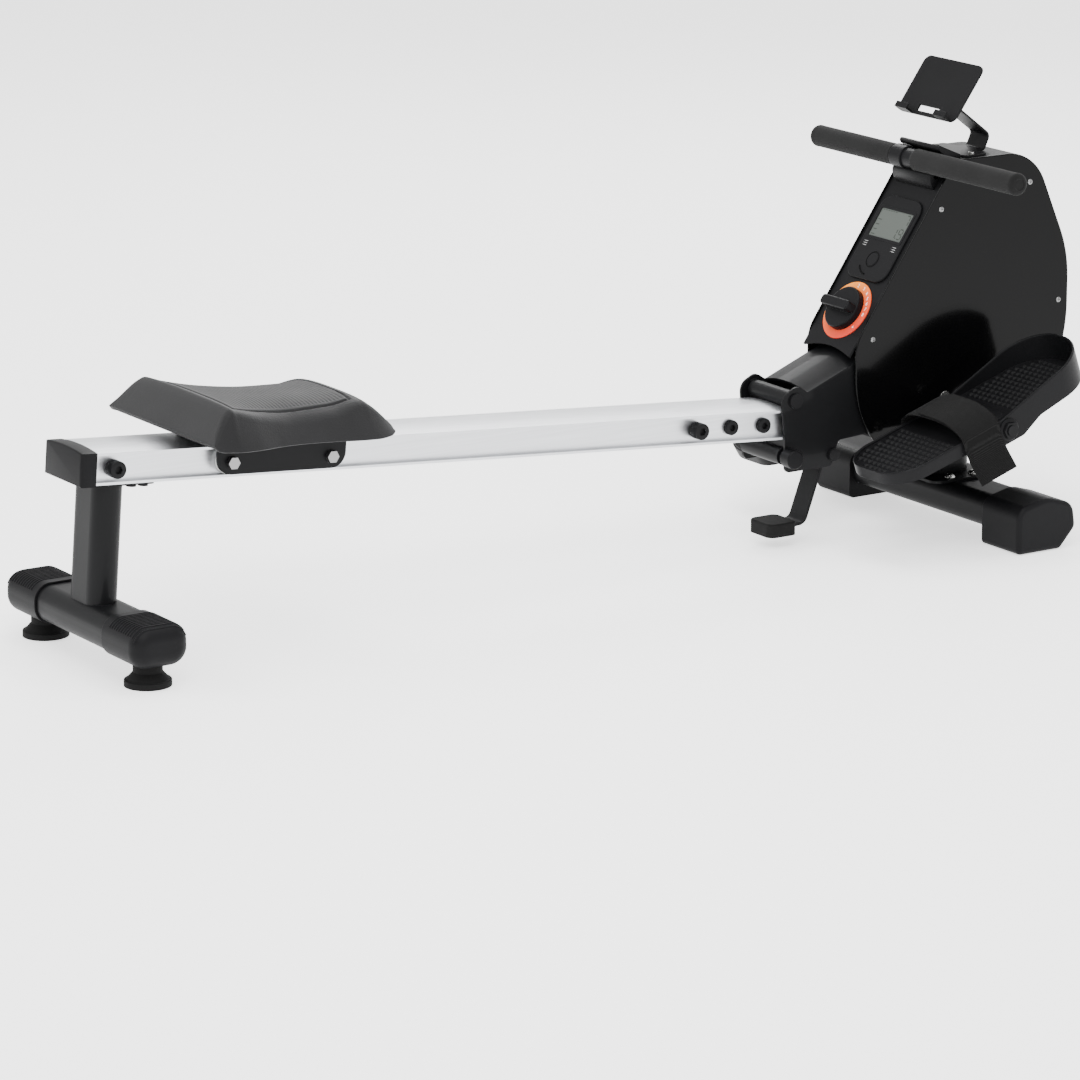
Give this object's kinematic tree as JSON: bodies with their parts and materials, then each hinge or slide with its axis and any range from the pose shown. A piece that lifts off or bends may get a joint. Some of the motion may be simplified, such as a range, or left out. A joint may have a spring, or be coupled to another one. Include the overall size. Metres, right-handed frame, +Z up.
{
  "type": "rowing machine",
  "caption": "Folding magnetic rowing machine: sliding seat on an aluminium rail, strap-pulled handlebar, pivoting footrests and an enclosed flywheel housing with console.",
  "frame": {"origin": "on the floor, below the middle of the machine's length and width", "axes": "+X from the seat end towards the flywheel housing, +Y to the left of a rower facing the housing, +Z up"},
  "size_m": [1.6527, 0.5, 0.6881],
  "materials": {
    "cover_gloss": "high gloss black moulding",
    "housing_plastic": "satin charcoal moulding",
    "console_plastic": "fine textured charcoal",
    "frame_paint": "satin black powder coat",
    "rail_aluminium": "brushed and anodised",
    "zinc_steel": "bright zinc",
    "black_steel": "black oxide",
    "rubber": "moulded rubber",
    "cap_plastic": "ribbed moulding",
    "grip_foam": "dense foam sleeve",
    "seat_foam": "grained polyurethane skin",
    "pedal_plastic": "moulded tread",
    "webbing": "woven hook and loop strap",
    "roller_plastic": "natural nylon",
    "knob_plastic": "satin black",
    "dial_print": "orange to red print",
    "lcd": "grey display",
    "flywheel_iron": "turned rim",
    "belt_rubber": "ribbed belt",
    "drive_plastic": "glass filled nylon",
    "spring_steel": "blued"
  },
  "bodies": {
    "frame": {"main_frame": "frame_paint", "front_post_bolts": "zinc_steel", "front_stabiliser_tube": "frame_paint", "front_end_caps": "cap_plastic", "side_cover_left": "cover_gloss", "side_cover_right": "cover_gloss", "cover_screws": "zinc_steel", "housing_shell": "housing_plastic", "console_panel": "console_plastic", "monitor_body": "console_plastic", "lcd_glass": "lcd", "dial_ring": "dial_print", "handle_cradle": "housing_plastic", "phone_bracket": "black_steel", "phone_bracket_screws": "zinc_steel", "phone_hinge_pin": "zinc_steel", "pedal_axle": "frame_paint", "pedal_axle_nuts": "zinc_steel", "pivot_bolt": "black_steel", "lever_bolt": "black_steel", "drive_shafts": "zinc_steel", "drive_belt": "belt_rubber", "recoil_spring": "spring_steel", "inner_pins": "zinc_steel", "tension_cable": "rubber", "pull_strap": "webbing"},
    "rail": {"rail": "rail_aluminium", "rail_end_cap": "cap_plastic", "rail_stop_bolts": "black_steel", "rail_bracket": "frame_paint", "rear_leg": "frame_paint", "rear_leg_bolts": "black_steel", "rear_end_caps": "cap_plastic"},
    "foot_left": {"levelling_foot_left": "rubber"},
    "foot_right": {"levelling_foot_right": "rubber"},
    "seat": {"seat_pad": "seat_foam", "seat_carriage": "frame_paint", "carriage_bolts": "zinc_steel"},
    "rollers_front": {"rollers_front": "roller_plastic"},
    "rollers_rear": {"rollers_rear": "roller_plastic"},
    "flywheel": {"flywheel": "flywheel_iron", "flywheel_bearings": "zinc_steel"},
    "pulley": {"drive_pulley": "drive_plastic"},
    "strap_roller": {"strap_roller": "roller_plastic"},
    "handle": {"handlebar_tube": "frame_paint", "grip_left": "grip_foam", "grip_right": "grip_foam", "handle_collar": "knob_plastic"},
    "tray": {"phone_tray": "housing_plastic"},
    "knob": {"tension_knob": "knob_plastic"},
    "button": {"monitor_button": "knob_plastic"},
    "brake": {"magnet_bracket": "drive_plastic", "brake_magnets": "zinc_steel"},
    "pedal_left": {"pedal_left": "pedal_plastic", "pedal_strap_left": "webbing"},
    "pedal_right": {"pedal_right": "pedal_plastic", "pedal_strap_right": "webbing"},
    "lever": {"lock_lever": "frame_paint", "lever_pad": "rubber"},
    "lock": {"lock_pin": "knob_plastic"}
  },
  "joints": [
    {"name": "rail_fold", "type": "hinge", "parent": "frame", "child": "rail", "pos_m": [0.33233, 0, 0.226], "axis": [0, 1, 0], "range_deg": [0, 107]},
    {"name": "seat_slide", "type": "slide", "parent": "rail", "child": "seat", "axis": [0.9973, 0, -0.0738], "range_m": [-0.138, 0.578]},
    {"name": "rollers_front_spin", "type": "hinge", "parent": "seat", "child": "rollers_front", "pos_m": [-0.44667, 0, 0.2481], "axis": [0, 1, 0], "range_deg": [-520, 2100]},
    {"name": "rollers_rear_spin", "type": "hinge", "parent": "seat", "child": "rollers_rear", "pos_m": [-0.60045, 0, 0.25948], "axis": [0, 1, 0], "range_deg": [-520, 2100]},
    {"name": "handle_pull", "type": "slide", "parent": "frame", "child": "handle", "axis": [-0.9781, 0, 0.2079], "range_m": [0, 0.9], "stiffness_N_per_m": 12, "springref_m": -1.2},
    {"name": "pulley_spin", "type": "hinge", "parent": "frame", "child": "pulley", "pos_m": [0.67733, 0, 0.45], "axis": [0, 1, 0], "range_deg": [-1600, 0]},
    {"name": "strap_roller_spin", "type": "hinge", "parent": "frame", "child": "strap_roller", "pos_m": [0.63433, 0, 0.526], "axis": [0, 1, 0], "range_deg": [-5100, 0]},
    {"name": "flywheel_spin", "type": "hinge", "parent": "frame", "child": "flywheel", "pos_m": [0.69733, 0, 0.262], "axis": [0, 1, 0], "continuous": true},
    {"name": "right_pedal_turn", "type": "hinge", "parent": "frame", "child": "pedal_right", "pos_m": [0.58233, -0.162, 0.187], "axis": [0, 1, 0], "range_deg": [-36.5, 18.5]},
    {"name": "left_pedal_turn", "type": "hinge", "parent": "frame", "child": "pedal_left", "pos_m": [0.58233, 0.162, 0.187], "axis": [0, 1, 0], "range_deg": [-23.5, 31.5]},
    {"name": "tension_knob_turn", "type": "hinge", "parent": "frame", "child": "knob", "pos_m": [0.46121, 0, 0.33681], "axis": [0.8232, 0, -0.5678], "range_deg": [0, 210]},
    {"name": "brake_swing", "type": "hinge", "parent": "frame", "child": "brake", "pos_m": [0.60333, 0, 0.341], "axis": [0, 1, 0], "range_deg": [-5, 0]},
    {"name": "monitor_button_press", "type": "slide", "parent": "frame", "child": "button", "axis": [0.8232, 0, -0.5678], "range_m": [0, 0.0015], "stiffness_N_per_m": 400, "springref_m": -0.001},
    {"name": "phone_tray_tilt", "type": "hinge", "parent": "frame", "child": "tray", "pos_m": [0.62697, 0, 0.63052], "axis": [0, 1, 0], "range_deg": [-20, 30]},
    {"name": "lock_lever_press", "type": "hinge", "parent": "frame", "child": "lever", "pos_m": [0.40033, 0, 0.138], "axis": [0, -1, 0], "range_deg": [0, 8], "stiffness_Nm_per_rad": 1.2, "springref_deg": -20.05},
    {"name": "lock_pin_pull", "type": "slide", "parent": "frame", "child": "lock", "axis": [0, -1, 0], "range_m": [0, 0.008], "stiffness_N_per_m": 500, "springref_m": -0.004},
    {"name": "left_foot_turn", "type": "hinge", "parent": "rail", "child": "foot_left", "pos_m": [-0.78072, 0.145, 0.015], "axis": [0, 0, 1], "continuous": true},
    {"name": "right_foot_turn", "type": "hinge", "parent": "rail", "child": "foot_right", "pos_m": [-0.78072, -0.145, 0.015], "axis": [0, 0, 1], "continuous": true}
  ],
  "couplings": [
    {"joint": "rollers_front_spin", "follows": "seat_slide", "rad_per_m": 56.497},
    {"joint": "rollers_rear_spin", "follows": "seat_slide", "rad_per_m": 56.497},
    {"joint": "pulley_spin", "follows": "handle_pull", "rad_per_m": -30.03},
    {"joint": "strap_roller_spin", "follows": "handle_pull", "rad_per_m": -97.087},
    {"joint": "brake_swing", "follows": "tension_knob_turn", "ratio": -0.0238}
  ]
}
